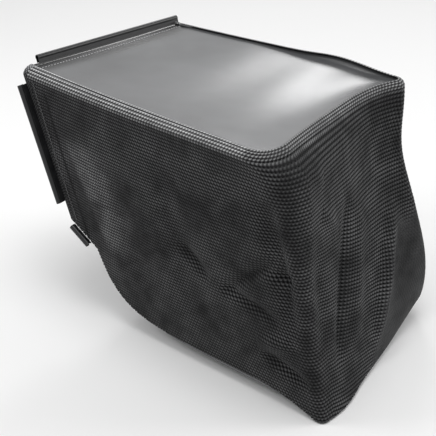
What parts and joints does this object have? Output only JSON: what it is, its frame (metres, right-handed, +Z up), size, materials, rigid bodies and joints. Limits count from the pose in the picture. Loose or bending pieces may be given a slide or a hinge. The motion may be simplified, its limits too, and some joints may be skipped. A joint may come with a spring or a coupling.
{
  "type": "mower grass collection bag",
  "caption": "Soft grass catcher bag for a walk-behind mower: coated top and floor, net walls, and push-on channels round a slanting mouth.",
  "frame": {"origin": "middle of the bag's box, on the ground it rests on", "axes": "+X from the mouth to the rear, +Y to the bag's right-hand side, +Z up"},
  "size_m": [0.6616, 0.415, 0.4664],
  "materials": {
    "net": "coated polyester net, soft sheen on the threads",
    "coated_cloth": "smooth coated cloth, satin",
    "channel_plastic": "extruded plastic, satin"
  },
  "bodies": {
    "root": {"mesh_wall": "net", "top_panel": "coated_cloth", "bottom_panel": "coated_cloth", "top_channel": "channel_plastic", "left_side_channel": "channel_plastic", "right_side_channel": "channel_plastic", "left_lower_channel": "channel_plastic", "right_lower_channel": "channel_plastic", "bottom_channel": "channel_plastic"}
  },
  "joints": []
}
